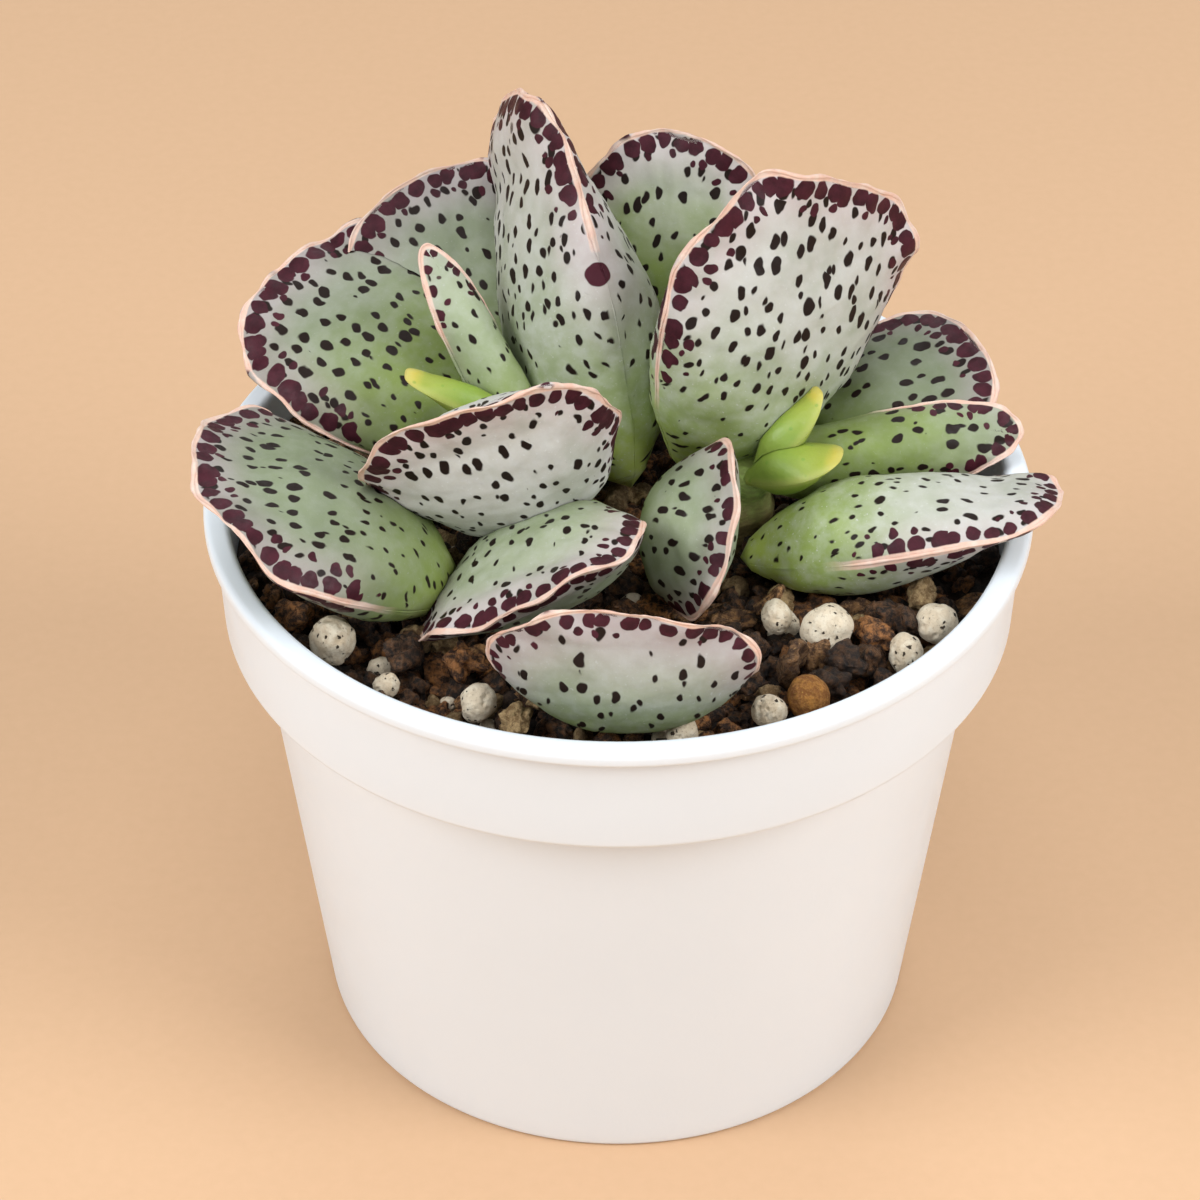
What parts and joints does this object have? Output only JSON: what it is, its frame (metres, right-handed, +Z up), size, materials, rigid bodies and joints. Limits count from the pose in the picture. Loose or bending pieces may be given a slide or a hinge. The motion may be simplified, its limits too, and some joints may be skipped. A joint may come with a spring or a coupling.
{
  "type": "potted plover eggs",
  "caption": "Small succulent with fat grey-green leaves, maroon spots and a wavy pale edge, in a gritty mix in a white plastic nursery pot.",
  "frame": {"origin": "centre of the pot's foot, on the surface that the pot stands on", "axes": "+Z up along the pot's axis, -Y towards the front as pictured, +X to the right"},
  "size_m": [0.0985, 0.096, 0.1097],
  "materials": {
    "pot_plastic": "satin white moulded plastic, slightly worn",
    "potting_mix": "loose gritty mix of bark, pumice and baked clay",
    "stem": "soft green stem browning at the foot",
    "leaf": "waxy grey-green skin with maroon spots and a pale horny edge",
    "sprout": "smooth yellow-green young leaf"
  },
  "bodies": {
    "root": {"pot": "pot_plastic", "soil": "potting_mix", "stem_left": "stem", "stem_right": "stem", "stem_back": "stem", "leaf_tall": "leaf", "leaf_broad": "leaf", "leaf_back_left": "leaf", "leaf_back_middle": "leaf", "leaf_left": "leaf", "leaf_small": "leaf", "leaf_front_high": "leaf", "leaf_front_low": "leaf", "leaf_left_low": "leaf", "leaf_middle": "leaf", "leaf_front_bottom": "leaf", "leaf_right_low": "leaf", "leaf_right_high": "leaf", "leaf_back_right": "leaf", "sprout_front": "sprout", "sprout_back": "sprout", "sprout_left": "sprout"}
  },
  "joints": []
}
